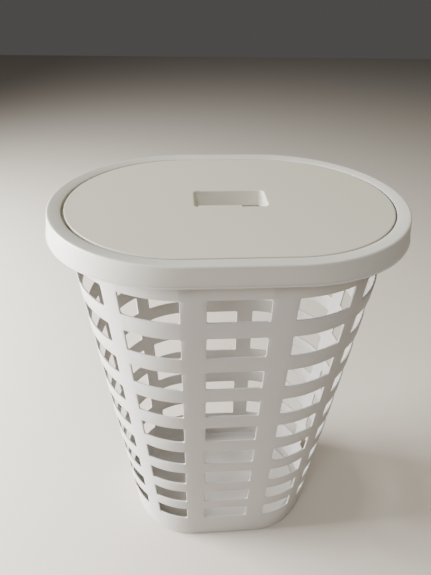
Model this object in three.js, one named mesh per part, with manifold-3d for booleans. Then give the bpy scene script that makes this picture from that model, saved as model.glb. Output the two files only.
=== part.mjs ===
// Laundry hamper with a lift-out lid.
// An oval tapered basket with nine rows of slots, a rim frame with a carry grip at each
// end that snaps onto it, and a flat lid that lies loose in the frame.
// Millimetres, +Z up. The hamper stands on z = 0 with its long side along X and its
// front towards -Y. The origin is at the middle of its base.

import * as THREE from 'three';
import { mergeVertices } from 'three/addons/utils/BufferGeometryUtils.js';
import Module from 'manifold-3d';

const wasm = await Module();
wasm.setup();

// ---- Driving dimensions ----

const HEIGHT = 583.5;
const LENGTH = 441.6;               // over the skirt's hem
const DEPTH = 325.4;                // over the rim's crest

// Steps from one plan outline to the next, on each side, at the ends and at the sides.
const HEM_STEP = { ends: -5.6, sides: 5.2 };       // crest to skirt hem
const RIM_WIDTH = { ends: 15.4, sides: 17.7 };     // crest to lid opening
const OVERHANG = { ends: 15, sides: 15.9 };        // crest to the basket wall, carried up
const TAPER = { ends: 43, sides: 41.3 };           // basket wall, from the top to the base

// Straight lengths of the long sides. The ends are half ellipses.
const WALL_STRAIGHT = 107;
const CREST_STRAIGHT = 103.6;
const HEM_STRAIGHT = 126.6;
const OPENING_STRAIGHT = 110;

const WALL = 2.4;                   // basket wall
const SEAT_GAP = 0.3;               // between pieces that rest on each other
const END_STEPS = 18;               // facets round each end of an outline
const CORNER_STEPS = 4;             // facets round a corner of the hand slot

// Basket floor
const FOOT_BAND = 17;               // flat band that stands on the ground
const FOOT_RECESS = 3;              // how far the middle of the floor is raised
const FOOT_ROUNDING = 5;
const FLOOR_THICKNESS = 2.6;

// Basket slots
const ROWS = 9;
const TOP_ROW_DROP = 53;            // from the hamper's top to the first row's upper edge
const LAST_ROW_EDGE = 60.3;         // lower edge of the last row
const SLOT_HEIGHT = 31;
const SLOT_CORNER = 2;
const MIDDLE_SLOT_WIDTH = 68.4;
const MIDDLE_POST = 28.6;           // post on each side of the middle slots
const END_POST = 23;                // posts round the ends
const CORNER_POST_ANGLE = THREE.MathUtils.degToRad(36.5);
const TIP_POST_ANGLE = THREE.MathUtils.degToRad(72);
const CUT_DEPTH = 12;               // how far a slot cutter reaches past the wall
const CUT_CLEARANCE = 1;            // how far a cutter passes an outer face

// Rim frame
const RIM_DROP = 2;                 // the rim's top falls this much towards the lid
const RIM_THICKNESS = 2.4;
const SKIRT_HEIGHT = 28.7;
const SKIRT_THICKNESS = 2.2;
const CREST_ROUNDING = 2.4;
const FACET_SHARE = 0.3;            // of a rounding's radius, where its middle facet lies
const LEDGE_DEPTH = 8.5;            // lid seat below the lid opening's edge
const LEDGE_WIDTH = 7;
const LEDGE_THICKNESS = 2.2;
const RIB_THICKNESS = 2.2;
const WEB_REACH = 40;               // past both ends of any web before it is trimmed
const GRIP_WEB_ANGLE = THREE.MathUtils.degToRad(36);
const HOOK_WIDTH = 12;
const HOOK_THICKNESS = 1.8;
const HOOK_GAP = 1.2;               // between a hook's flat arm and the rounded wall
const HOOK_BARB = 2.6;
const HOOK_BARB_HEIGHT = 4.5;
const WINDOW_GAP = 0.8;             // round a hook's barb in its window
const WINDOW_TOP = 4;               // from the basket's upper edge down to a window

// Lid
const LID_GAP = { ends: 2.75, sides: 2 };           // round the loose lid
const LID_SHIFT = 0.9;              // the loose lid lies this much to the right
const LID_THICKNESS = 2.4;
const LID_FLANGE = 2.4;
const LID_ROUNDING = 1.6;
const HAND_SLOT_LENGTH = 87;
const HAND_SLOT_DEPTH = 48;
const HAND_SLOT_CORNER = 6;
const HAND_SLOT_HEIGHT = 19;        // from the lid's top to the funnel's lower edge
const HAND_SLOT_WALL = 2.2;
const HAND_SLOT_DRAFT = 3;          // narrower on each side at the bottom
const LID_RIB_HEIGHT = 5;
const LID_RIB = 1.8;
const LID_RIB_STEP = 66;

// ---- Sizes that follow from them ----

const CREST = {
  length: LENGTH + 2 * HEM_STEP.ends,
  depth: DEPTH,
  flat: CREST_STRAIGHT,
};
const SKIRT_HEM = within(CREST, HEM_STEP, HEM_STRAIGHT);
const LID_OPENING = within(CREST, RIM_WIDTH, OPENING_STRAIGHT);
const MOUTH = within(CREST, OVERHANG, WALL_STRAIGHT);
const BASE = within(MOUTH, TAPER, WALL_STRAIGHT);

const openingTop = HEIGHT - RIM_DROP;
const ledgeTop = openingTop - LEDGE_DEPTH;
const ledgeBottom = ledgeTop - LEDGE_THICKNESS;
const basketTop = ledgeBottom - SEAT_GAP;
const skirtHem = HEIGHT - SKIRT_HEIGHT;
const flangeBottom = openingTop - RIM_THICKNESS;
const windowTop = basketTop - WINDOW_TOP;
const windowBottom = windowTop - HOOK_BARB_HEIGHT - 2 * WINDOW_GAP;
const lidTop = openingTop;
const lidBottom = ledgeTop + SEAT_GAP;
const firstPostEnd = MIDDLE_SLOT_WIDTH / 2 + MIDDLE_POST;
const middlePostCentre = (MIDDLE_SLOT_WIDTH + MIDDLE_POST) / 2;
const topRowEdge = HEIGHT - TOP_ROW_DROP;
const rowPitch = (topRowEdge - SLOT_HEIGHT - LAST_ROW_EDGE) / (ROWS - 1);

// ---- Plan outlines ----

function within(plan, step, flat) {
  return { length: plan.length - 2 * step.ends, depth: plan.depth - 2 * step.sides, flat };
}

function inset(plan, by) {
  return within(plan, { ends: by, sides: by }, plan.flat);
}

function between(low, high, share) {
  const mix = (a, b) => THREE.MathUtils.lerp(a, b, share);
  return {
    length: mix(low.length, high.length),
    depth: mix(low.depth, high.depth),
    flat: mix(low.flat, high.flat),
  };
}

function wallPlan(z) {
  return between(BASE, MOUTH, z / HEIGHT);
}

// A point of the right-hand end, by its angle from the front, with the outward normal
// and the distance travelled per radian.
function endPoint(plan, angle) {
  const reach = (plan.length - plan.flat) / 2;
  const half = plan.depth / 2;
  const along = new THREE.Vector2(reach * Math.cos(angle), half * Math.sin(angle));
  return {
    point: new THREE.Vector2(plan.flat / 2 + reach * Math.sin(angle), -half * Math.cos(angle)),
    normal: new THREE.Vector2(along.y, -along.x).normalize(),
    speed: along.length(),
  };
}

// One turn round an outline at height z, starting at the front right.
function ring(plan, z) {
  const points = [];
  for (const side of [1, -1]) {
    for (let step = 0; step <= END_STEPS; step += 1) {
      const { point } = endPoint(plan, (Math.PI * step) / END_STEPS);
      points.push(new THREE.Vector3(side * point.x, side * point.y, z));
    }
  }
  return points;
}

// ---- Solids ----

function geometryOf(points, triangles) {
  const geometry = new THREE.BufferGeometry().setFromPoints(points);
  geometry.setIndex(triangles);
  return geometry;
}

// Skin over a list of rings. A list that starts and ends on the axis is closed by a fan at
// each end; otherwise the last ring joins the first.
function loft(rings, axisStart, axisEnd) {
  const count = rings[0].length;
  const points = rings.flat();
  const triangles = [];
  const bands = axisStart ? rings.length - 1 : rings.length;
  for (let band = 0; band < bands; band += 1) {
    const low = band * count;
    const high = ((band + 1) % rings.length) * count;
    for (let i = 0; i < count; i += 1) {
      const next = (i + 1) % count;
      triangles.push(low + i, low + next, high + next);
      triangles.push(low + i, high + next, high + i);
    }
  }
  if (axisStart) {
    const first = points.push(axisStart) - 1;
    const last = points.push(axisEnd) - 1;
    const top = (rings.length - 1) * count;
    for (let i = 0; i < count; i += 1) {
      const next = (i + 1) % count;
      triangles.push(first, next, i);
      triangles.push(last, top + i, top + next);
    }
  }
  return geometryOf(points, triangles);
}

// A stack of plan polygons with the same number of corners, closed top and bottom.
function stack(levels) {
  const count = levels[0].corners.length;
  const points = [];
  const triangles = [];
  for (const { corners, z } of levels) {
    const outline = THREE.ShapeUtils.isClockWise(corners) ? [...corners].reverse() : corners;
    points.push(...outline.map((corner) => new THREE.Vector3(corner.x, corner.y, z)));
  }
  for (let level = 0; level + 1 < levels.length; level += 1) {
    const low = level * count;
    const high = low + count;
    for (let i = 0; i < count; i += 1) {
      const next = (i + 1) % count;
      triangles.push(low + i, low + next, high + next);
      triangles.push(low + i, high + next, high + i);
    }
  }
  const top = (levels.length - 1) * count;
  for (const [a, b, c] of THREE.ShapeUtils.triangulateShape(points.slice(0, count), [])) {
    triangles.push(c, b, a);
    triangles.push(top + a, top + b, top + c);
  }
  return geometryOf(points, triangles);
}

function solid(geometry) {
  const bare = geometry.clone();
  bare.deleteAttribute('normal');
  bare.deleteAttribute('uv');
  const merged = mergeVertices(bare, 1e-5);
  return new wasm.Manifold(new wasm.Mesh({
    numProp: 3,
    vertProperties: new Float32Array(merged.attributes.position.array),
    triVerts: new Uint32Array(merged.index.array),
  }));
}

function meshOf(name, body, colour, roughness) {
  const { vertProperties, triVerts } = body.getMesh();
  const geometry = new THREE.BufferGeometry();
  geometry.setAttribute('position', new THREE.BufferAttribute(vertProperties, 3));
  geometry.setIndex(new THREE.BufferAttribute(triVerts, 1));
  geometry.computeVertexNormals();
  const finish = new THREE.MeshStandardMaterial({ color: colour, roughness, metalness: 0 });
  const mesh = new THREE.Mesh(geometry, finish);
  mesh.name = name;
  return mesh;
}

// An upright box that stands across the wall: its width runs along the wall, and its two
// faces are at the given distances along the outward normal.
function wallBox(seat, width, from, to, bottom, top) {
  const box = new THREE.BoxGeometry(width, to - from, top - bottom);
  box.translate(0, (from + to) / 2, 0);
  box.rotateZ(Math.atan2(seat.normal.y, seat.normal.x) - Math.PI / 2);
  box.translate(seat.point.x, seat.point.y, (bottom + top) / 2);
  return solid(box);
}

// The four mirrored places of a seat on the front right.
function mirrored(seat) {
  const places = [];
  for (const x of [1, -1]) {
    for (const y of [1, -1]) {
      const flip = new THREE.Vector2(x, y);
      places.push({
        point: seat.point.clone().multiply(flip),
        normal: seat.normal.clone().multiply(flip),
      });
    }
  }
  return places;
}

// ---- Basket slots ----

// The middle slot of the front, as a plan polygon cut straight through the wall.
function middleCorners(plan, trim) {
  const half = MIDDLE_SLOT_WIDTH / 2 - trim;
  const near = plan.depth / 2 + CUT_DEPTH;
  const far = plan.depth / 2 - CUT_DEPTH;
  return [
    new THREE.Vector2(-half, -near),
    new THREE.Vector2(half, -near),
    new THREE.Vector2(half, -far),
    new THREE.Vector2(-half, -far),
  ];
}

// A slot on the right-hand end from one angle to another.
function curvedCorners(plan, fromAngle, toAngle) {
  const from = endPoint(plan, fromAngle);
  const to = endPoint(plan, toAngle);
  return [
    from.point.clone().addScaledVector(from.normal, CUT_DEPTH),
    to.point.clone().addScaledVector(to.normal, CUT_DEPTH),
    to.point.clone().addScaledVector(to.normal, -CUT_DEPTH),
    from.point.clone().addScaledVector(from.normal, -CUT_DEPTH),
  ];
}

// The angle at a distance past the middle of a post, with the post's half width between.
function besidePost(plan, postAngle, side, trim) {
  return postAngle + (side * (END_POST / 2 + trim)) / endPoint(plan, postAngle).speed;
}

function cornerSlot(plan, trim) {
  const reach = (plan.length - plan.flat) / 2;
  const start = Math.asin((firstPostEnd - plan.flat / 2 + trim) / reach);
  return curvedCorners(plan, start, besidePost(plan, CORNER_POST_ANGLE, -1, trim));
}

function sideSlot(plan, trim) {
  const start = besidePost(plan, CORNER_POST_ANGLE, 1, trim);
  return curvedCorners(plan, start, besidePost(plan, TIP_POST_ANGLE, -1, trim));
}

function tipSlot(plan, trim) {
  const start = besidePost(plan, TIP_POST_ANGLE, 1, trim);
  return curvedCorners(plan, start, Math.PI - start);
}

// A slot cutter: full width over most of its height, narrower at its top and bottom.
function slotCutter(corners, bottom) {
  const top = bottom + SLOT_HEIGHT;
  const level = (z, trim) => ({ z, corners: corners(wallPlan(z), trim) });
  return [
    level(bottom, SLOT_CORNER),
    level(bottom + SLOT_CORNER, 0),
    level(top - SLOT_CORNER, 0),
    level(top, SLOT_CORNER),
  ];
}

function flipped(levels, x, y) {
  const flip = new THREE.Vector2(x, y);
  return levels.map(({ z, corners }) => ({
    z,
    corners: corners.map((corner) => corner.clone().multiply(flip)),
  }));
}

// ---- Basket ----

function hookSeats(z) {
  const plan = wallPlan(z);
  const middle = {
    point: new THREE.Vector2(middlePostCentre, -plan.depth / 2),
    normal: new THREE.Vector2(0, -1),
  };
  return [...mirrored(middle), ...mirrored(endPoint(plan, CORNER_POST_ANGLE))];
}

function buildBasket() {
  const wallRing = (z, by) => ring(inset(wallPlan(z), by), z);
  const raisedTop = FOOT_RECESS + FLOOR_THICKNESS;
  const shell = loft(
    [
      wallRing(FOOT_RECESS, FOOT_BAND + FOOT_RECESS),
      ring(inset(BASE, FOOT_BAND), 0),
      ring(inset(BASE, FOOT_ROUNDING), 0),
      ring(inset(BASE, FOOT_ROUNDING / 4), FOOT_ROUNDING / 4),
      wallRing(FOOT_ROUNDING, 0),
      wallRing(basketTop, 0),
      wallRing(basketTop, WALL),
      wallRing(FOOT_ROUNDING + FLOOR_THICKNESS, WALL),
      wallRing(FLOOR_THICKNESS, FOOT_ROUNDING),
      wallRing(FLOOR_THICKNESS, FOOT_BAND - WALL),
      wallRing(raisedTop, FOOT_BAND + FOOT_RECESS - WALL),
    ],
    new THREE.Vector3(0, 0, FOOT_RECESS),
    new THREE.Vector3(0, 0, raisedTop),
  );
  let basket = solid(shell);
  for (let row = 0; row < ROWS; row += 1) {
    const bottom = topRowEdge - SLOT_HEIGHT - row * rowPitch;
    const middle = slotCutter(middleCorners, bottom);
    const corner = slotCutter(cornerSlot, bottom);
    const side = slotCutter(sideSlot, bottom);
    const tip = slotCutter(tipSlot, bottom);
    for (const y of [1, -1]) {
      basket = basket.subtract(solid(stack(flipped(middle, 1, y))));
      basket = basket.subtract(solid(stack(flipped(tip, y, 1))));
      for (const x of [1, -1]) {
        basket = basket.subtract(solid(stack(flipped(corner, x, y))));
        basket = basket.subtract(solid(stack(flipped(side, x, y))));
      }
    }
  }
  for (const seat of hookSeats(windowTop)) {
    const width = HOOK_WIDTH + 2 * WINDOW_GAP;
    basket = basket.subtract(wallBox(seat, width, -2 * WALL, WALL, windowBottom, windowTop));
  }
  return basket;
}

// ---- Rim frame ----

// Everything that the basket's wall takes up, with the seat gap round it.
function basketRoom() {
  const room = (z, by) => ring(inset(wallPlan(z), by), z);
  const top = basketTop + SEAT_GAP;
  return solid(loft(
    [
      room(skirtHem - RIM_THICKNESS, -SEAT_GAP),
      room(top, -SEAT_GAP),
      room(top, WALL + SEAT_GAP),
      room(skirtHem - RIM_THICKNESS, WALL + SEAT_GAP),
    ],
  ));
}

// The room between the skirt and the recess wall, up to inside the rim's top.
function channelRoom() {
  const inRim = RIM_THICKNESS / 2;
  return solid(loft(
    [
      ring(inset(SKIRT_HEM, inRim), skirtHem),
      ring(inset(CREST, inRim), flangeBottom + inRim),
      ring(inset(LID_OPENING, -inRim), flangeBottom + inRim),
      ring(inset(LID_OPENING, -inRim), skirtHem),
    ],
  ));
}

function buildRim() {
  const soft = CREST_ROUNDING;
  const facet = soft * FACET_SHARE;
  const hemEdge = SKIRT_THICKNESS / 4;
  const lipEdge = soft / 2;
  const shell = solid(loft(
    [
      ring(inset(SKIRT_HEM, SKIRT_THICKNESS), skirtHem),
      ring(inset(SKIRT_HEM, hemEdge), skirtHem),
      ring(SKIRT_HEM, skirtHem + hemEdge),
      ring(CREST, HEIGHT - soft),
      ring(inset(CREST, facet), HEIGHT - facet),
      ring(inset(CREST, soft), HEIGHT),
      ring(inset(LID_OPENING, -lipEdge), openingTop),
      ring(LID_OPENING, openingTop - lipEdge),
      ring(LID_OPENING, ledgeTop),
      ring(inset(LID_OPENING, LEDGE_WIDTH), ledgeTop),
      ring(inset(LID_OPENING, LEDGE_WIDTH), ledgeBottom),
      ring(inset(LID_OPENING, -RIM_THICKNESS), ledgeBottom),
      ring(inset(LID_OPENING, -RIM_THICKNESS), flangeBottom),
      ring(inset(CREST, RIM_THICKNESS), HEIGHT - RIM_THICKNESS - facet),
    ],
  ));
  const taken = basketRoom();
  const channel = channelRoom();
  let rim = shell;
  const plan = wallPlan(skirtHem);
  for (const seat of mirrored(endPoint(plan, GRIP_WEB_ANGLE))) {
    const outside = wallBox(seat, RIB_THICKNESS, WALL / -2, WEB_REACH, skirtHem, ledgeBottom);
    const above = wallBox(seat, RIB_THICKNESS, -WEB_REACH, WEB_REACH, ledgeBottom, HEIGHT);
    rim = rim.add(outside.add(above).intersect(channel).subtract(taken));
  }
  for (const seat of hookSeats(windowTop)) {
    const rib = wallBox(seat, RIB_THICKNESS, -WEB_REACH, WEB_REACH, ledgeBottom, HEIGHT);
    rim = rim.add(rib.intersect(channel).subtract(taken));
    const outerFace = -(WALL + HOOK_GAP);
    const innerFace = outerFace - HOOK_THICKNESS;
    const barbBottom = windowBottom + WINDOW_GAP;
    const barbTop = barbBottom + HOOK_BARB_HEIGHT;
    const armTop = ledgeBottom + LEDGE_THICKNESS / 2;
    const arm = wallBox(seat, HOOK_WIDTH, innerFace, outerFace, barbBottom - WINDOW_GAP, armTop);
    const barb = wallBox(seat, HOOK_WIDTH, innerFace, outerFace + HOOK_BARB, barbBottom, barbTop);
    rim = rim.add(arm.add(barb));
  }
  return rim;
}

// ---- Lid ----

function roundedRectangle(length, depth, radius) {
  const corners = [];
  for (const [index, [x, y]] of [[1, -1], [1, 1], [-1, 1], [-1, -1]].entries()) {
    const middle = new THREE.Vector2(x * (length / 2 - radius), y * (depth / 2 - radius));
    for (let step = 0; step <= CORNER_STEPS; step += 1) {
      const turn = (Math.PI / 2) * (index - 1 + step / CORNER_STEPS);
      corners.push(new THREE.Vector2(Math.cos(turn), Math.sin(turn)).multiplyScalar(radius).add(middle));
    }
  }
  return corners;
}

// The funnel of the hand slot, its walls set out by the given thickness.
function funnel(out, top, bottom) {
  const level = (z, narrower) => {
    const grow = 2 * (out - narrower);
    const corners = roundedRectangle(HAND_SLOT_LENGTH + grow, HAND_SLOT_DEPTH + grow, HAND_SLOT_CORNER);
    return { z, corners };
  };
  return solid(stack([level(bottom, HAND_SLOT_DRAFT), level(top, 0)]));
}

function buildLid() {
  const plan = within(LID_OPENING, LID_GAP, OPENING_STRAIGHT);
  const plateBottom = lidTop - LID_THICKNESS;
  const soft = LID_ROUNDING;
  const plate = solid(loft(
    [
      ring(inset(plan, LID_FLANGE), plateBottom),
      ring(inset(plan, LID_FLANGE), lidBottom),
      ring(plan, lidBottom),
      ring(plan, lidTop - soft),
      ring(inset(plan, soft * FACET_SHARE), lidTop - soft * FACET_SHARE),
      ring(inset(plan, soft), lidTop),
    ],
    new THREE.Vector3(0, 0, plateBottom),
    new THREE.Vector3(0, 0, lidTop),
  ));
  const ribOutline = inset(plan, LEDGE_WIDTH + 2 * LID_FLANGE);
  const ribBottom = plateBottom - LID_RIB_HEIGHT;
  const inPlate = plateBottom + LID_THICKNESS / 2;
  const underside = solid(loft(
    [ring(ribOutline, ribBottom), ring(ribOutline, inPlate)],
    new THREE.Vector3(0, 0, ribBottom),
    new THREE.Vector3(0, 0, inPlate),
  ));
  const rib = (length, depth, x, y) =>
    solid(new THREE.BoxGeometry(length, depth, HEIGHT).translate(x, y, ribBottom));
  let ribs = rib(plan.length, LID_RIB, 0, 0);
  for (const side of [-1, 1]) {
    ribs = ribs.add(rib(plan.length, LID_RIB, 0, side * LID_RIB_STEP));
    for (const place of [1, 2]) {
      ribs = ribs.add(rib(LID_RIB, plan.depth, side * place * LID_RIB_STEP, 0));
    }
  }
  const slotBottom = lidTop - HAND_SLOT_HEIGHT;
  return plate
    .add(ribs.intersect(underside))
    .add(funnel(HAND_SLOT_WALL, inPlate, slotBottom))
    .subtract(funnel(0, lidTop + CUT_CLEARANCE, slotBottom - CUT_CLEARANCE));
}

// ---- Assembly ----

const hamper = new THREE.Group();
hamper.name = 'laundry_hamper';

const basketMesh = meshOf('basket_body', buildBasket(), 0xcfcac4, 0.55);
const rimMesh = meshOf('rim_frame', buildRim(), 0xd2cdc6, 0.5);
const lidMesh = meshOf('lid', buildLid(), 0xc6c1b6, 0.55);
lidMesh.position.x = LID_SHIFT;

hamper.add(basketMesh, rimMesh, lidMesh);

export default hamper;
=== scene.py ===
"""A laundry hamper with a lift-out lid: smooth mouldings, finishes, light and camera."""

import math
from collections import namedtuple

import bpy
from mathutils import Matrix, Vector


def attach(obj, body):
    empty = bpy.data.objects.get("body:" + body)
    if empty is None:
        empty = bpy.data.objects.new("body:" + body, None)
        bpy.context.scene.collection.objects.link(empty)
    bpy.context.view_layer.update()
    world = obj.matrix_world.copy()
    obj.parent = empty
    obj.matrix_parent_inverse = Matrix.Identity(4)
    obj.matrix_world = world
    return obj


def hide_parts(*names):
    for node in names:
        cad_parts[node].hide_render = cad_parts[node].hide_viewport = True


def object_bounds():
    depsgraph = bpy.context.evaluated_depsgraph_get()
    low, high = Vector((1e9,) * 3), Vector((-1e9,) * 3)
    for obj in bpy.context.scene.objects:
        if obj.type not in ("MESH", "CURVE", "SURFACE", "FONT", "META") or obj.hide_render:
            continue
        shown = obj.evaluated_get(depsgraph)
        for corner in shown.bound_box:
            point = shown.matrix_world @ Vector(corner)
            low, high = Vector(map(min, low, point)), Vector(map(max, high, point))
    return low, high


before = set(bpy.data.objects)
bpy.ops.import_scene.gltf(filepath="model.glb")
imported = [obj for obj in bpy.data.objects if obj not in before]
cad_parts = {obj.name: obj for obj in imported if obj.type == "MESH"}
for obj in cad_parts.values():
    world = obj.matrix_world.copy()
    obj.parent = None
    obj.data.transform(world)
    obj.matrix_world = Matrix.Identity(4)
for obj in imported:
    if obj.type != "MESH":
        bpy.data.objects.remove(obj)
cad_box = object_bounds()

# An oval's over-all length and depth, and the straight stretch of its long sides.
Plan = namedtuple("Plan", "length depth flat")

# How far one oval lies inside another, at its ends and along its sides.
Step = namedtuple("Step", "ends sides")

# ---- Sizes, in metres ----

LENGTH = cad_box[1][0] - cad_box[0][0]
DEPTH = cad_box[1][1] - cad_box[0][1]
HEIGHT = cad_box[1][2]

HEM_STEP = Step(-0.0056, 0.0052)  # crest to skirt hem
RIM_WIDTH = Step(0.0154, 0.0177)  # crest to lid opening
OVERHANG = Step(0.015, 0.0159)  # crest to the basket's wall, carried up to HEIGHT
TAPER = Step(0.043, 0.0413)  # the basket's wall, from HEIGHT down to the ground
WALL_STRAIGHT = 0.107
CREST_STRAIGHT = 0.1036
HEM_STRAIGHT = 0.1266
OPENING_STRAIGHT = 0.110

WALL = 0.0024
SEAT_GAP = 0.0003
FOOT_BAND = 0.017
FOOT_RECESS = 0.003
FOOT_ROUNDING = 0.005
FLOOR_BORDER = 0.03

ROWS = 9
TOP_ROW_DROP = 0.053  # from HEIGHT down to the top row's upper edge
LAST_ROW_EDGE = 0.0603  # from the ground up to the last row's lower edge
SLOT_HEIGHT = 0.031
SLOT_ROUNDING = 0.0022
MIDDLE_SLOT = 0.0684
MIDDLE_POST = 0.0286
END_POST = 0.023
CORNER_POST_ANGLE = math.radians(36.5)
TIP_POST_ANGLE = math.radians(72)
WINDOW_WIDTH = 0.0136
EDGE_SOFTNESS = 0.0008

RIM_DROP = 0.002
RIM_THICKNESS = 0.0024
SKIRT_HEIGHT = 0.0287
SKIRT_THICKNESS = 0.0022
HEM_BEAD = 0.0009  # how far the hem stands out from the skirt above it
CREST_ROUNDING = 0.0018
RECESS_ROUNDING = 0.0007
LEDGE_DEPTH = 0.0085
LEDGE_WIDTH = 0.007
LEDGE_THICKNESS = 0.0022
LEDGE_CHAMFER = LEDGE_THICKNESS / 4
RIB_THICKNESS = 0.0022
GRIP_WEB_ANGLE = math.radians(36)
HOOK_WIDTH = 0.012
HOOK_THICKNESS = 0.0018
HOOK_GAP = 0.0012
HOOK_BARB = 0.0026
BARB_HEIGHT = 0.0045
WINDOW_GAP = 0.0008
WINDOW_DROP = 0.004

LID_GAP = Step(0.00275, 0.002)
LID_SHIFT = 0.0009
LID_THICKNESS = 0.0024
LID_FLANGE = 0.0024
LID_CHAMFER = LID_FLANGE / 4
LID_ROUNDING = 0.0010
HAND_SLOT = (0.087, 0.048)  # its length and width
HAND_SLOT_ROUNDING = 0.006
HAND_SLOT_LIP = 0.0016
HAND_SLOT_WALL = 0.0022
HAND_SLOT_DEPTH = 0.019
HAND_SLOT_DRAFT = 0.003
LID_RIB_HEIGHT = 0.005
LID_RIB = 0.0018
LID_RIB_SOFTNESS = 0.0003
LID_RIB_STEP = 0.066

# Mesh steps along a quarter of an oval, first its straight stretch and then its arc. The hand
# slot's outline takes as many, with CORNER_STEPS of the arc's for its corner.
FLAT_STEPS = 4
ARC_STEPS = 26
CORNER_STEPS = 12

# Angles between two faces: below the first they shade as one, above the second their edge is
# softened, and above the third it can be a slot's corner.
SMOOTH_ANGLE = math.radians(35)
SOFTENED_ANGLE = math.radians(50)
SLOT_CORNER_ANGLE = math.radians(60)
MERGE_DISTANCE = 1e-6
LEVEL_TOLERANCE = 1e-5

# ---- Heights that follow from them ----

top_row_edge = HEIGHT - TOP_ROW_DROP
row_pitch = (top_row_edge - SLOT_HEIGHT - LAST_ROW_EDGE) / (ROWS - 1)
opening_top = HEIGHT - RIM_DROP
ledge_top = opening_top - LEDGE_DEPTH
ledge_bottom = ledge_top - LEDGE_THICKNESS
basket_top = ledge_bottom - SEAT_GAP
skirt_hem = HEIGHT - SKIRT_HEIGHT
flange_bottom = opening_top - RIM_THICKNESS
window_top = basket_top - WINDOW_DROP
window_bottom = window_top - BARB_HEIGHT - 2 * WINDOW_GAP
lid_top = opening_top
lid_bottom = ledge_top + SEAT_GAP
lid_plate_bottom = lid_top - LID_THICKNESS


# ---- Outlines ----

def within(plan, step, flat):
    return Plan(plan.length - 2 * step.ends, plan.depth - 2 * step.sides, flat)


def inset(plan, by):
    return within(plan, Step(by, by), plan.flat)


def between(low, high, share):
    return Plan(*(a + (b - a) * share for a, b in zip(low, high)))


CREST = Plan(LENGTH + 2 * HEM_STEP.ends, DEPTH, CREST_STRAIGHT)
SKIRT_HEM = within(CREST, HEM_STEP, HEM_STRAIGHT)
LID_OPENING = within(CREST, RIM_WIDTH, OPENING_STRAIGHT)
MOUTH = within(CREST, OVERHANG, WALL_STRAIGHT)
BASE = within(MOUTH, TAPER, WALL_STRAIGHT)


def wall_plan(z):
    return between(BASE, MOUTH, z / HEIGHT)


def reach_of(plan):
    return (plan.length - plan.flat) / 2


def quarter_point(plan, along):
    """A point of the right-hand back quarter. along runs over the straight side first, in
    metres, and then round the end."""
    half_flat = plan.flat / 2
    if along <= half_flat:
        return Vector((along, plan.depth / 2))
    angle = (along - half_flat) / reach_of(plan)
    return Vector((half_flat + reach_of(plan) * math.sin(angle), plan.depth / 2 * math.cos(angle)))


def whole_turn(quarter, z):
    """One turn at height z, front middle first and then to the right, from the points of the
    right-hand back quarter."""
    points = []
    for right, back in ((1, -1), (1, 1), (-1, 1), (-1, -1)):
        spots = quarter if right * back < 0 else quarter[::-1]
        points += [Vector((right * x, back * y, z)) for x, y in spots[:-1]]
    return points


def oval(plan, z):
    """One turn at height z in even steps."""
    arc = reach_of(plan) * math.pi / 2
    places = [plan.flat / 2 * i / FLAT_STEPS for i in range(FLAT_STEPS)]
    places += [plan.flat / 2 + arc * i / ARC_STEPS for i in range(ARC_STEPS + 1)]
    return whole_turn([quarter_point(plan, along) for along in places], z)


def rounding(radius, start, end, steps=5):
    """(outward, upward) offsets of an arc about its centre, between two angles in degrees."""
    turns = [math.radians(start + (end - start) * i / steps) for i in range(steps + 1)]
    return [(radius * math.cos(turn), radius * math.sin(turn)) for turn in turns]


# ---- Modelling by operators ----

def deselect_all():
    bpy.ops.object.select_all(action="DESELECT")


def only(piece):
    deselect_all()
    piece.select_set(True)
    bpy.context.view_layer.objects.active = piece


def edit(piece, mode="FACE", everything=True):
    only(piece)
    bpy.ops.object.mode_set(mode="EDIT")
    bpy.ops.mesh.select_mode(type=mode)
    bpy.ops.mesh.select_all(action="SELECT" if everything else "DESELECT")


def done():
    bpy.ops.object.mode_set(mode="OBJECT")


def clear_selection(piece, mode):
    edit(piece, mode, everything=False)
    done()


def rolled_sheet(name, rings, hole=None):
    """A grid with one row for each ring, its holes deleted, rolled up and joined at its seam.
    The grid runs from -1 to 1 both ways until it is rolled up."""
    around = len(rings[0])
    up = len(rings) - 1
    deselect_all()
    bpy.ops.mesh.primitive_grid_add(x_subdivisions=around, y_subdivisions=up, size=2)
    sheet = bpy.context.object
    sheet.name = name
    if hole:
        clear_selection(sheet, "FACE")
        for face in sheet.data.polygons:
            column = (face.center.x + 1) / 2 * around
            row = (face.center.y + 1) / 2 * up
            face.select = hole(int(column), int(row))
        bpy.ops.object.mode_set(mode="EDIT")
        bpy.ops.mesh.delete(type="FACE")
        done()
    for vertex in sheet.data.vertices:
        column = round((vertex.co.x + 1) / 2 * around) % around
        row = round((vertex.co.y + 1) / 2 * up)
        vertex.co = rings[row][column]
    edit(sheet)
    bpy.ops.mesh.remove_doubles(threshold=MERGE_DISTANCE)
    done()
    return sheet


def rolled_ring(name, rings):
    """A closed moulding whose section runs through the rings and back to the first."""
    piece = rolled_sheet(name, rings + rings[:1])
    edit(piece)
    bpy.ops.mesh.normals_make_consistent(inside=False)
    done()
    return piece


def apply_modifier(piece, kind, **settings):
    only(piece)
    modifier = piece.modifiers.new(kind.lower(), kind)
    for key, value in settings.items():
        setattr(modifier, key, value)
    bpy.ops.object.modifier_apply(modifier=modifier.name)


def join(main, others):
    only(main)
    for other in others:
        other.select_set(True)
    bpy.ops.object.join()
    return main


def smooth(piece):
    only(piece)
    bpy.ops.object.shade_smooth_by_angle(angle=SMOOTH_ANGLE)


def bar(size, place):
    """A box of that size with softened edges, its middle at place."""
    deselect_all()
    bpy.ops.mesh.primitive_cube_add(size=1, location=place)
    block = bpy.context.object
    block.scale = size
    bpy.ops.object.transform_apply(location=True, rotation=False, scale=True)
    apply_modifier(block, "BEVEL", width=LID_RIB_SOFTNESS, segments=2)
    return block


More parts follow.
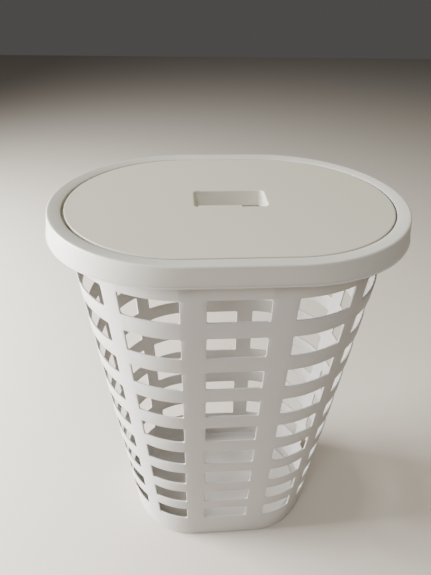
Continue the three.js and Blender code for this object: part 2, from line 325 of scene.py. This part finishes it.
def plate(outline, thickness):
    """A flat plate in the XZ plane with that outline, half its thickness to each side."""
    deselect_all()
    bpy.ops.mesh.primitive_circle_add(vertices=len(outline), fill_type="NGON")
    piece = bpy.context.object
    for vertex, (x, z) in zip(piece.data.vertices, outline):
        vertex.co = Vector((x, -thickness / 2, z))
    edit(piece)
    bpy.ops.mesh.extrude_region_move(TRANSFORM_OT_translate={"value": (0, thickness, 0)})
    bpy.ops.mesh.select_all(action="SELECT")
    bpy.ops.mesh.normals_make_consistent(inside=False)
    done()
    return piece


def put(piece, spot, outward):
    """Stands a piece that was made with +X outwards at a place of the wall."""
    turn = Matrix.Rotation(math.atan2(outward.y, outward.x), 4, "Z")
    piece.matrix_world = Matrix.Translation((spot.x, spot.y, 0)) @ turn
    only(piece)
    bpy.ops.object.transform_apply(location=True, rotation=True, scale=True)


# ---- Basket ----

# Stretches of one quarter of the wall from its middle to the end's tip: what each is and
# how many mesh columns it takes.
STRETCHES = (
    ("slot", 3), ("post", 1), ("window", 2), ("post", 1), ("slot", 7), ("post", 1),
    ("window", 2), ("post", 1), ("slot", 7), ("post", 3), ("slot", 4),
)
COLUMN_KINDS = [kind for kind, columns in STRETCHES for _ in range(columns)]


def end_seat(plan, angle):
    """Place round the end, its outward normal and the metres travelled per radian."""
    reach = reach_of(plan)
    along = Vector((reach * math.cos(angle), plan.depth / 2 * math.sin(angle)))
    spot = Vector((plan.flat / 2 + reach * math.sin(angle), -plan.depth / 2 * math.cos(angle)))
    return spot, Vector((along.y, -along.x)).normalized(), along.length


def wall_quarter(plan):
    """Places of the wall's mesh columns, so that slots and windows end on a column."""
    half_flat = plan.flat / 2
    reach = reach_of(plan)

    def across(x):
        return x if x <= half_flat else half_flat + reach * math.asin((x - half_flat) / reach)

    def beside(angle, offset):
        return half_flat + reach * (angle + offset / end_seat(plan, angle)[2])

    post_middle = (MIDDLE_SLOT + MIDDLE_POST) / 2
    ends = [across(MIDDLE_SLOT / 2)]
    ends += [across(post_middle + offset) for offset in (-WINDOW_WIDTH / 2, WINDOW_WIDTH / 2)]
    ends += [across(MIDDLE_SLOT / 2 + MIDDLE_POST)]
    for offset in (-END_POST / 2, -WINDOW_WIDTH / 2, WINDOW_WIDTH / 2, END_POST / 2):
        ends.append(beside(CORNER_POST_ANGLE, offset))
    ends += [beside(TIP_POST_ANGLE, offset) for offset in (-END_POST / 2, END_POST / 2)]
    ends.append(half_flat + reach * math.pi / 2)
    places = [0.0]
    for (_, columns), end in zip(STRETCHES, ends):
        start = places[-1]
        places += [start + (end - start) * (i + 1) / columns for i in range(columns)]
    return places


def wall_ring(plan, z):
    return whole_turn([quarter_point(plan, along) for along in wall_quarter(plan)], z)


def basket():
    foot = [
        wall_ring(inset(BASE, FOOT_BAND + FOOT_RECESS), FOOT_RECESS),
        wall_ring(inset(BASE, FOOT_BAND), 0),
    ]
    for out, down in rounding(FOOT_ROUNDING, -90, 0):
        foot.append(wall_ring(inset(BASE, FOOT_ROUNDING - out), FOOT_ROUNDING + down))
    levels = []
    for row in reversed(range(ROWS)):
        top = top_row_edge - row * row_pitch
        levels += [top - SLOT_HEIGHT, top]
    levels += [window_bottom, window_top, basket_top]
    rings = foot + [wall_ring(wall_plan(z), z) for z in levels]
    first_slot = len(foot) - 1
    quarter = len(COLUMN_KINDS)

    def hole(column, row):
        step = column % quarter
        kind = COLUMN_KINDS[step if (column // quarter) % 2 == 0 else quarter - 1 - step]
        level = row - first_slot
        if kind == "slot":
            return 0 < level < 2 * ROWS and level % 2 == 1
        return kind == "window" and level == 2 * ROWS + 1

    piece = rolled_sheet("basket_moulding", rings, hole)
    close_floor(piece)
    apply_modifier(piece, "SOLIDIFY", thickness=WALL, offset=-1, use_even_offset=True)
    round_slot_corners(piece)
    apply_modifier(piece, "BEVEL", width=EDGE_SOFTNESS, segments=2, limit_method="ANGLE",
                   angle_limit=SOFTENED_ANGLE)
    smooth(piece)
    return piece


def close_floor(piece):
    """Fills the raised middle of the floor inside its lowest ring."""
    clear_selection(piece, "VERT")
    limit = inset(BASE, FOOT_BAND + FOOT_RECESS / 2)

    def on_ring(spot):
        level = abs(spot.z - FOOT_RECESS) < LEVEL_TOLERANCE
        return level and abs(spot.x) < limit.length / 2 and abs(spot.y) < limit.depth / 2

    for edge in piece.data.edges:
        edge.select = all(on_ring(piece.data.vertices[i].co) for i in edge.vertices)
    bpy.ops.object.mode_set(mode="EDIT")
    bpy.ops.mesh.select_mode(type="EDGE")
    bpy.ops.mesh.edge_face_add()
    bpy.ops.mesh.inset(thickness=FLOOR_BORDER)
    bpy.ops.mesh.poke()
    done()


def round_slot_corners(piece):
    """Rounds the four corners of every slot, through the wall's whole thickness. Their edges
    run from one face of the wall to the other, a little askew where it curves."""
    clear_selection(piece, "EDGE")
    longest = 1.3 * WALL
    highest = (top_row_edge + window_bottom) / 2
    mesh = piece.data
    normals = {}
    for face in mesh.polygons:
        for key in face.edge_keys:
            normals.setdefault(key, []).append(face.normal)
    for edge in mesh.edges:
        a, b = (mesh.vertices[i].co for i in edge.vertices)
        through_wall = (a - b).length < longest
        below_windows = max(a.z, b.z) < highest
        sides = normals[tuple(sorted(edge.vertices))]
        corner = len(sides) == 2 and sides[0].angle(sides[1]) > SLOT_CORNER_ANGLE
        edge.select = through_wall and below_windows and corner
    bpy.ops.object.mode_set(mode="EDIT")
    bpy.ops.mesh.select_mode(type="EDGE")
    bpy.ops.mesh.bevel(offset=SLOT_ROUNDING, segments=4, affect="EDGES")
    done()


# ---- Rim frame ----

def rim_rings():
    """The frame's section: the hem, up the skirt, over the crest, down a slight slope into the
    lid's recess, round the ledge and back under the top."""
    half = SKIRT_THICKNESS / 2
    rings = [oval(inset(SKIRT_HEM, half - out), skirt_hem + half + up)
             for out, up in rounding(half, -180, 60, 8)]
    skirt = inset(SKIRT_HEM, HEM_BEAD)
    bottom = skirt_hem + SKIRT_THICKNESS
    top = HEIGHT - CREST_ROUNDING
    for share in (0, 0.25, 0.5, 0.75):
        rings.append(oval(between(skirt, CREST, share), bottom + (top - bottom) * share))
    for out, up in rounding(CREST_ROUNDING, 0, 86, 7):
        rings.append(oval(inset(CREST, CREST_ROUNDING - out), top + up))
    crest = inset(CREST, 2 * CREST_ROUNDING)
    lip = inset(LID_OPENING, -2 * RECESS_ROUNDING)
    for share, drop in ((0, 0.1), (0.5, 0.5), (1, 0.9)):
        rings.append(oval(between(crest, lip, share), HEIGHT - RIM_DROP * drop))
    brink = opening_top - RECESS_ROUNDING
    for out, up in rounding(RECESS_ROUNDING, 90, 180, 4):
        rings.append(oval(inset(LID_OPENING, -RECESS_ROUNDING - out), brink + up))
    edge = LEDGE_CHAMFER
    rings += [
        oval(LID_OPENING, ledge_top + edge),
        oval(inset(LID_OPENING, edge), ledge_top),
        oval(inset(LID_OPENING, LEDGE_WIDTH - edge), ledge_top),
        oval(inset(LID_OPENING, LEDGE_WIDTH), ledge_top - edge),
        oval(inset(LID_OPENING, LEDGE_WIDTH), ledge_bottom + edge),
        oval(inset(LID_OPENING, LEDGE_WIDTH - edge), ledge_bottom),
        oval(inset(LID_OPENING, -RIM_THICKNESS), ledge_bottom),
        oval(inset(LID_OPENING, -RIM_THICKNESS), flange_bottom),
        oval(inset(CREST, RIM_THICKNESS + edge), HEIGHT - RIM_THICKNESS - edge),
        oval(inset(CREST, RIM_THICKNESS), HEIGHT - RIM_THICKNESS - 3 * edge),
    ]
    return rings


def hook():
    """A hook's arm with its barb, made pointing along +X, the wall's outer face at x = 0."""
    outer = -(WALL + HOOK_GAP)
    inner = outer - HOOK_THICKNESS
    tip = outer + HOOK_BARB
    barb_bottom = window_bottom + WINDOW_GAP
    barb_top = barb_bottom + BARB_HEIGHT
    arm_top = ledge_bottom + LEDGE_THICKNESS / 2
    outline = [
        (inner, window_bottom),
        (outer, window_bottom),
        (tip, barb_bottom + BARB_HEIGHT / 2),
        (tip, barb_top),
        (outer, barb_top),
        (outer, arm_top),
        (inner, arm_top),
    ]
    return plate(outline, HOOK_WIDTH)


def skirt_web(plan, angle):
    """A web behind the skirt, from the basket's wall and the lid recess out to the skirt."""
    wall_spot, outward, _ = end_seat(plan, angle)
    nearby = [angle + step / 500 for step in range(-60, 60)]

    def out_to(other):
        """How far out the other oval is, straight out from the wall."""
        spots = [end_seat(other, turn)[0] for turn in nearby]
        best = min(spots, key=lambda spot: abs((spot - wall_spot).cross(outward)))
        return (best - wall_spot).dot(outward)

    sunk = SKIRT_THICKNESS / 2
    gap = 2 * SEAT_GAP
    hem = out_to(SKIRT_HEM) - sunk
    crest = out_to(CREST) - sunk
    recess = out_to(inset(LID_OPENING, -RIM_THICKNESS)) - sunk
    outline = [
        (gap, skirt_hem + sunk),
        (hem, skirt_hem + sunk),
        (crest, flange_bottom),
        (crest - sunk, flange_bottom + sunk),
        (recess, flange_bottom + sunk),
        (recess, basket_top + gap),
        (gap + sunk, basket_top + gap),
    ]
    web = plate(outline, RIB_THICKNESS)
    return web, wall_spot, outward


def rim():
    """The frame, with hooks at the middle and corner posts and webs beside the grips."""
    piece = rolled_ring("rim_moulding", rim_rings())
    smooth(piece)
    extras = []
    plan = wall_plan(window_top)
    middle = Vector(((MIDDLE_SLOT + MIDDLE_POST) / 2, -plan.depth / 2))
    corner, corner_out, _ = end_seat(plan, CORNER_POST_ANGLE)
    for right in (1, -1):
        for back in (1, -1):
            flip = Vector((right, back))
            for spot, outward in ((middle, Vector((0, -1))), (corner, corner_out)):
                arm = hook()
                put(arm, spot * flip, outward * flip)
                extras.append(arm)
            web, spot, outward = skirt_web(wall_plan(skirt_hem), GRIP_WEB_ANGLE)
            put(web, spot * flip, outward * flip)
            extras.append(web)
    return join(piece, extras)


# ---- Lid ----

def hand_slot_outline(grow, z):
    """A rounded rectangle with as many points as an oval, in the same order."""
    half_x = HAND_SLOT[0] / 2 + grow
    half_y = HAND_SLOT[1] / 2 + grow
    radius = HAND_SLOT_ROUNDING + grow
    side_steps = ARC_STEPS - CORNER_STEPS
    quarter = [((half_x - radius) * i / FLAT_STEPS, half_y) for i in range(FLAT_STEPS)]
    for step in range(CORNER_STEPS):
        turn = math.pi / 2 * step / CORNER_STEPS
        quarter.append((half_x - radius + radius * math.sin(turn),
                        half_y - radius + radius * math.cos(turn)))
    for step in range(side_steps + 1):
        quarter.append((half_x, (half_y - radius) * (1 - step / side_steps)))
    return whole_turn(quarter, z)


def mixed(outer, inner, share):
    return [a.lerp(b, share) for a, b in zip(outer, inner)]


def lid_rings(plan):
    """The lid's section: its flange, over the edge, across the plate and down the hand slot."""
    soft = LID_ROUNDING
    lip = HAND_SLOT_LIP
    edge = LID_CHAMFER
    rings = [
        oval(inset(plan, LID_FLANGE), lid_plate_bottom),
        oval(inset(plan, LID_FLANGE), lid_bottom + edge),
        oval(inset(plan, LID_FLANGE - edge), lid_bottom),
        oval(inset(plan, edge), lid_bottom),
        oval(plan, lid_bottom + edge),
    ]
    for out, up in rounding(soft, 0, 90, 6):
        rings.append(oval(inset(plan, soft - out), lid_top - soft + up))
    outer = oval(inset(plan, 2 * soft), lid_top)
    inner = hand_slot_outline(2 * lip, lid_top)
    rings += [mixed(outer, inner, share) for share in (0, 0.25, 0.5, 0.75, 1)]
    for out, up in rounding(lip, 90, 180, 5):
        rings.append(hand_slot_outline(lip + out, lid_top - lip + up))
    slot_bottom = lid_top - HAND_SLOT_DEPTH
    narrow = -HAND_SLOT_DRAFT
    rings += [
        hand_slot_outline(narrow, slot_bottom + edge),
        hand_slot_outline(narrow + edge, slot_bottom),
        hand_slot_outline(narrow + HAND_SLOT_WALL - edge, slot_bottom),
        hand_slot_outline(narrow + HAND_SLOT_WALL, slot_bottom + edge),
        hand_slot_outline(HAND_SLOT_WALL, lid_plate_bottom),
    ]
    return rings


def lid():
    plan = within(LID_OPENING, LID_GAP, OPENING_STRAIGHT)
    piece = rolled_ring("lid_moulding", lid_rings(plan))
    smooth(piece)
    join(piece, lid_ribs(plan))
    piece.location.x = LID_SHIFT
    only(piece)
    bpy.ops.object.transform_apply(location=True, rotation=False, scale=False)
    return piece


def lid_ribs(plan):
    """Ribs under the plate, sunk into it a little. Their ends stay clear of the ledge, and the
    middle ones start in the hand slot's walls."""
    clear = inset(plan, LEDGE_WIDTH + 2 * LID_FLANGE)
    half_flat = clear.flat / 2
    height = LID_RIB_HEIGHT
    sunk = LID_RIB / 2
    z = lid_plate_bottom + sunk - height / 2

    def half_length(y):
        share = min(abs(y) / (clear.depth / 2), 1)
        return half_flat + reach_of(clear) * math.sqrt(1 - share * share)

    def half_depth(x):
        share = max(abs(x) - half_flat, 0) / reach_of(clear)
        return clear.depth / 2 * math.sqrt(1 - share * share)

    ribs = []
    for side in (-1, 1):
        y = side * LID_RIB_STEP
        ribs.append(bar((2 * half_length(y), LID_RIB, height), (0, y, z)))
        for place in (1, 2):
            x = side * place * LID_RIB_STEP
            ribs.append(bar((LID_RIB, 2 * half_depth(x), height), (x, 0, z)))
        start = HAND_SLOT[0] / 2
        end = half_length(0)
        ribs.append(bar((end - start, LID_RIB, height), (side * (start + end) / 2, 0, z)))
    return ribs


# ---- Colours and finish ----

BASKET_COLOUR = (0.455, 0.43, 0.40)
RIM_COLOUR = (0.48, 0.462, 0.415)
# The lid's plastic colour, made creamier than the rim's as painted warm light from above.
LID_COLOUR_WITH_PAINTED_TOP_LIGHT = (0.475, 0.452, 0.375)
FLOOR_COLOUR = (0.48, 0.43, 0.37)
DULL_COLOUR = (0.34, 0.31, 0.27)
NICK_COLOUR = (0.88, 0.88, 0.86)
STREAK_STRETCH = (1, 1, 0.12)
NICK_STRETCH = (0.45, 0.45, 1.5)
GRAIN_STRENGTH = 0.25
GRAIN_RELIEF = 0.00012
ROUGHNESS_CHANGE = 0.12
TONE_CHANGE = 0.05
PLASTIC_IOR = 1.49
PLASTIC_SPECULAR = 0.45


# ---- Shader groups ----

def new_group(name, inputs, outputs):
    group = bpy.data.node_groups.new(name, "ShaderNodeTree")
    for label, kind, value in inputs:
        socket = group.interface.new_socket(name=label, in_out="INPUT", socket_type=kind)
        socket.default_value = value
    for label, kind in outputs:
        group.interface.new_socket(name=label, in_out="OUTPUT", socket_type=kind)
    return group, group.nodes.new("NodeGroupInput"), group.nodes.new("NodeGroupOutput")


def noise(tree, scale, detail=2.0, roughness=0.5):
    node = tree.nodes.new("ShaderNodeTexNoise")
    node.inputs["Scale"].default_value = scale
    node.inputs["Detail"].default_value = detail
    node.inputs["Roughness"].default_value = roughness
    return node


def ramp(tree, low, high):
    node = tree.nodes.new("ShaderNodeMapRange")
    node.inputs["From Min"].default_value = low
    node.inputs["From Max"].default_value = high
    return node


def math_node(tree, operation, value=None):
    node = tree.nodes.new("ShaderNodeMath")
    node.operation = operation
    if value is not None:
        node.inputs[1].default_value = value
    return node


def moulded_grain():
    """Fine spark-eroded texture of the mould: a height and a matching roughness."""
    group, given, out = new_group(
        "moulded_grain",
        [("Vector", "NodeSocketVector", (0, 0, 0)), ("Roughness", "NodeSocketFloat", 0.5),
         ("Roughness Change", "NodeSocketFloat", 0.06)],
        [("Height", "NodeSocketFloat"), ("Roughness", "NodeSocketFloat")])
    links = group.links
    fine = noise(group, scale=1500, detail=3)
    broad = noise(group, scale=45)
    for texture in (fine, broad):
        links.new(given.outputs["Vector"], texture.inputs["Vector"])
    links.new(fine.outputs["Fac"], out.inputs["Height"])
    centred = math_node(group, "SUBTRACT", value=0.5)
    links.new(broad.outputs["Fac"], centred.inputs[0])
    scaled = math_node(group, "MULTIPLY")
    links.new(centred.outputs[0], scaled.inputs[0])
    links.new(given.outputs["Roughness Change"], scaled.inputs[1])
    total = math_node(group, "ADD")
    links.new(scaled.outputs[0], total.inputs[0])
    links.new(given.outputs["Roughness"], total.inputs[1])
    links.new(total.outputs[0], out.inputs["Roughness"])
    return group


def flow_tone():
    """Slight unevenness of tone, as melt flow and handling leave on pale plastic."""
    group, given, out = new_group(
        "flow_tone",
        [("Vector", "NodeSocketVector", (0, 0, 0)), ("Colour", "NodeSocketColor", (1, 1, 1, 1)),
         ("Amount", "NodeSocketFloat", 0.05)],
        [("Colour", "NodeSocketColor")])
    links = group.links
    cloud = noise(group, scale=9, detail=3, roughness=0.55)
    streak = noise(group, scale=60)
    stretch = group.nodes.new("ShaderNodeMapping")
    stretch.inputs["Scale"].default_value = STREAK_STRETCH
    links.new(given.outputs["Vector"], cloud.inputs["Vector"])
    links.new(given.outputs["Vector"], stretch.inputs["Vector"])
    links.new(stretch.outputs["Vector"], streak.inputs["Vector"])
    both = math_node(group, "ADD")
    links.new(cloud.outputs["Fac"], both.inputs[0])
    links.new(streak.outputs["Fac"], both.inputs[1])
    shade = math_node(group, "MULTIPLY")
    links.new(both.outputs[0], shade.inputs[0])
    links.new(given.outputs["Amount"], shade.inputs[1])
    mix = group.nodes.new("ShaderNodeMix")
    mix.data_type = "RGBA"
    mix.blend_type = "MIX"
    mix.inputs["B"].default_value = (*DULL_COLOUR, 1)
    links.new(shade.outputs[0], mix.inputs["Factor"])
    links.new(given.outputs["Colour"], mix.inputs["A"])
    links.new(mix.outputs["Result"], out.inputs["Colour"])
    return group


def small_scuffs():
    """Short pale nicks and rubs, sparse, as a mask."""
    group, given, out = new_group(
        "small_scuffs",
        [("Vector", "NodeSocketVector", (0, 0, 0)), ("Amount", "NodeSocketFloat", 0.5)],
        [("Mask", "NodeSocketFloat")])
    links = group.links
    where = noise(group, scale=16, roughness=0.6)
    marks = noise(group, scale=150, detail=3, roughness=0.7)
    flatten = group.nodes.new("ShaderNodeMapping")
    flatten.inputs["Scale"].default_value = NICK_STRETCH
    links.new(given.outputs["Vector"], where.inputs["Vector"])
    links.new(given.outputs["Vector"], flatten.inputs["Vector"])
    links.new(flatten.outputs["Vector"], marks.inputs["Vector"])
    patch = ramp(group, low=0.6, high=0.68)
    nick = ramp(group, low=0.69, high=0.73)
    links.new(where.outputs["Fac"], patch.inputs["Value"])
    links.new(marks.outputs["Fac"], nick.inputs["Value"])
    both = math_node(group, "MULTIPLY")
    links.new(patch.outputs["Result"], both.inputs[0])
    links.new(nick.outputs["Result"], both.inputs[1])
    scaled = math_node(group, "MULTIPLY")
    links.new(both.outputs[0], scaled.inputs[0])
    links.new(given.outputs["Amount"], scaled.inputs[1])
    links.new(scaled.outputs[0], out.inputs["Mask"])
    return group


GRAIN = moulded_grain()
TONE = flow_tone()
SCUFFS = small_scuffs()


# ---- Materials ----

def place_group(tree, group, **values):
    node = tree.nodes.new("ShaderNodeGroup")
    node.node_tree = group
    for key, value in values.items():
        node.inputs[key.replace("_", " ")].default_value = value
    return node


def satin_plastic(name, colour, roughness, scuffs):
    """Matte moulded polypropylene with its grain, uneven tone and pale nicks."""
    material = bpy.data.materials.new(name)
    material.use_nodes = True
    tree = material.node_tree
    links = tree.links
    shader = tree.nodes["Principled BSDF"]
    place = tree.nodes.new("ShaderNodeTexCoord").outputs["Object"]
    grain = place_group(tree, GRAIN, Roughness=roughness, Roughness_Change=ROUGHNESS_CHANGE)
    shade = place_group(tree, TONE, Colour=(*colour, 1), Amount=TONE_CHANGE)
    nicks = place_group(tree, SCUFFS, Amount=scuffs)
    for node in (grain, shade, nicks):
        links.new(place, node.inputs["Vector"])
    pale = tree.nodes.new("ShaderNodeMix")
    pale.data_type = "RGBA"
    pale.inputs["B"].default_value = (*NICK_COLOUR, 1)
    links.new(nicks.outputs["Mask"], pale.inputs["Factor"])
    links.new(shade.outputs["Colour"], pale.inputs["A"])
    links.new(pale.outputs["Result"], shader.inputs["Base Color"])
    links.new(grain.outputs["Roughness"], shader.inputs["Roughness"])
    bump = tree.nodes.new("ShaderNodeBump")
    bump.inputs["Strength"].default_value = GRAIN_STRENGTH
    bump.inputs["Distance"].default_value = GRAIN_RELIEF
    links.new(grain.outputs["Height"], bump.inputs["Height"])
    links.new(bump.outputs["Normal"], shader.inputs["Normal"])
    shader.inputs["IOR"].default_value = PLASTIC_IOR
    shader.inputs["Specular IOR Level"].default_value = PLASTIC_SPECULAR
    return material


def paint(piece, material):
    piece.data.materials.clear()
    piece.data.materials.append(material)


# ---- The hamper ----

basket_piece = basket()
basket_plastic = satin_plastic("basket_polypropylene", BASKET_COLOUR, roughness=0.46, scuffs=0.5)
paint(basket_piece, basket_plastic)
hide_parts("basket_body")
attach(basket_piece, "hamper")

rim_piece = rim()
rim_plastic = satin_plastic("rim_polypropylene", RIM_COLOUR, roughness=0.42, scuffs=0.8)
paint(rim_piece, rim_plastic)
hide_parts("rim_frame")
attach(rim_piece, "hamper")

lid_piece = lid()
# The lid's colour carries painted warm light from above on top of its plastic colour.
lid_plastic = satin_plastic("lid_polypropylene", LID_COLOUR_WITH_PAINTED_TOP_LIGHT, roughness=0.5, scuffs=0.4)
paint(lid_piece, lid_plastic)
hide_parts("lid")
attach(lid_piece, "loose_lid")


# ---- Floor, light and camera ----

FLOOR_SIZE = 12
FLOOR_DROP = 0.0002  # keeps the floor's face off the basket's
WORLD_COLOUR = (0.98, 0.95, 0.93)
WORLD_STRENGTH = 0.08
LIT_PLACE = (0, 0, 0.35)


def plain(name, colour, roughness):
    material = bpy.data.materials.new(name)
    material.use_nodes = True
    shader = material.node_tree.nodes["Principled BSDF"]
    shader.inputs["Base Color"].default_value = (*colour, 1)
    shader.inputs["Roughness"].default_value = roughness
    return material


def floor():
    deselect_all()
    bpy.ops.mesh.primitive_plane_add(size=FLOOR_SIZE, location=(0, 0, -FLOOR_DROP))
    sheet = bpy.context.object
    sheet.name = "floor"
    paint(sheet, plain("pale_floor", FLOOR_COLOUR, roughness=0.75))
    return sheet


def soft_light(name, place, size, power, colour):
    """A rectangle of light that faces the hamper."""
    bpy.ops.object.light_add(type="AREA", location=place)
    lamp = bpy.context.object
    lamp.name = name
    lamp.data.shape = "RECTANGLE"
    lamp.data.size, lamp.data.size_y = size
    lamp.data.energy = power
    lamp.data.color = colour
    aim = Vector(LIT_PLACE) - Vector(place)
    lamp.rotation_euler = aim.to_track_quat("-Z", "Y").to_euler()
    return lamp


def surroundings():
    """A dim studio, a broad window at the left, and soft light from above and from the front."""
    world = bpy.data.worlds.new("studio")
    world.use_nodes = True
    background = world.node_tree.nodes["Background"]
    background.inputs["Color"].default_value = (*WORLD_COLOUR, 1)
    background.inputs["Strength"].default_value = WORLD_STRENGTH
    bpy.context.scene.world = world
    return [
        soft_light("window", (-2.1, 0.25, 0.72), size=(1.1, 1.1), power=420,
                   colour=(0.96, 0.99, 1.0)),
        soft_light("ceiling", (0.3, 0.2, 2.6), size=(2.2, 2.2), power=33,
                   colour=(1.0, 0.94, 0.75)),
        soft_light("front_fill", (-0.7, -1.7, 2.3), size=(1.2, 1.0), power=48,
                   colour=(0.95, 0.96, 1.0)),
    ]


def camera():
    """A close, wide view from above the front, turned a little to the right. The angles are in
    radians, and the focal length is in the units of the frame's height."""
    place = Vector((-0.0541, -0.5111, 0.7986))
    turn = 0.0765
    tilt = 0.5976
    roll = -0.0199
    frame_height = 575
    focal_length = 447.3
    ahead = math.cos(tilt)
    forward = Vector((math.sin(turn) * ahead, math.cos(turn) * ahead, -math.sin(tilt)))
    level = Vector((math.cos(turn), -math.sin(turn), 0))
    down = forward.cross(level)
    right = math.cos(roll) * level + math.sin(roll) * down
    up = math.sin(roll) * level - math.cos(roll) * down
    bpy.ops.object.camera_add()
    lens = bpy.context.object
    lens.name = "camera"
    facing = Matrix((right, up, -forward)).transposed().to_4x4()
    lens.matrix_world = Matrix.Translation(place) @ facing
    lens.data.sensor_fit = "VERTICAL"
    lens.data.sensor_height = 24
    lens.data.lens = focal_length / frame_height * lens.data.sensor_height
    lens.data.clip_start = 0.01
    bpy.context.scene.camera = lens


floor()
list(surroundings())
camera()
